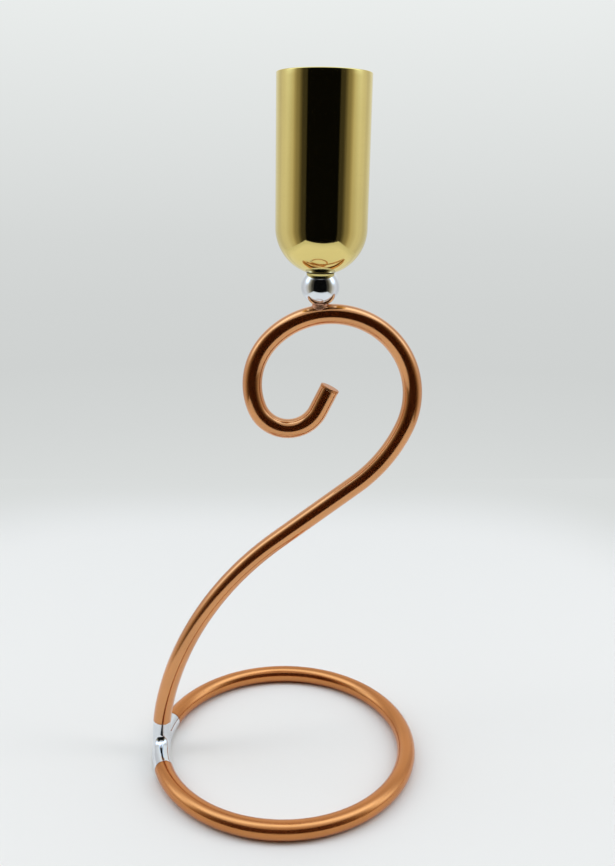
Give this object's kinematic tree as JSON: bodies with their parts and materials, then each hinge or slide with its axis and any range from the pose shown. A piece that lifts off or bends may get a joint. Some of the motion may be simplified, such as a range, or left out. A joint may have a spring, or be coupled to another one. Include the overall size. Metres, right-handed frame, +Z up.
{
  "type": "spiral candle holder",
  "caption": "Free-standing candle holder: a tube ring base, a tube that rises and curls over in a spiral, and a deep round-bottomed candle cup on a ball.",
  "frame": {"origin": "centre of the base ring, on the surface it stands on", "axes": "+Z up, parallel to the cup's axis; -X from the ring's centre to the tee; the scroll lies in the XZ plane and +Y is square to it"},
  "size_m": [0.15, 0.15, 0.3633],
  "materials": {
    "ring_copper": "copper plated, satin",
    "scroll_copper": "copper plated, polished",
    "joint_chrome": "polished",
    "ball_chrome": "polished",
    "cup_brass": "polished",
    "plug_copper": "satin",
    "fibre": "matt",
    "screw_steel": "zinc plated"
  },
  "bodies": {
    "root": {"base_ring": "ring_copper", "joint_tee": "joint_chrome", "scroll_tube": "scroll_copper", "end_plug": "plug_copper", "cup_boss": "scroll_copper", "spacer_ball": "ball_chrome", "seat_washer": "fibre", "candle_cup": "cup_brass", "cup_washer": "screw_steel", "cup_screw": "screw_steel"}
  },
  "joints": []
}
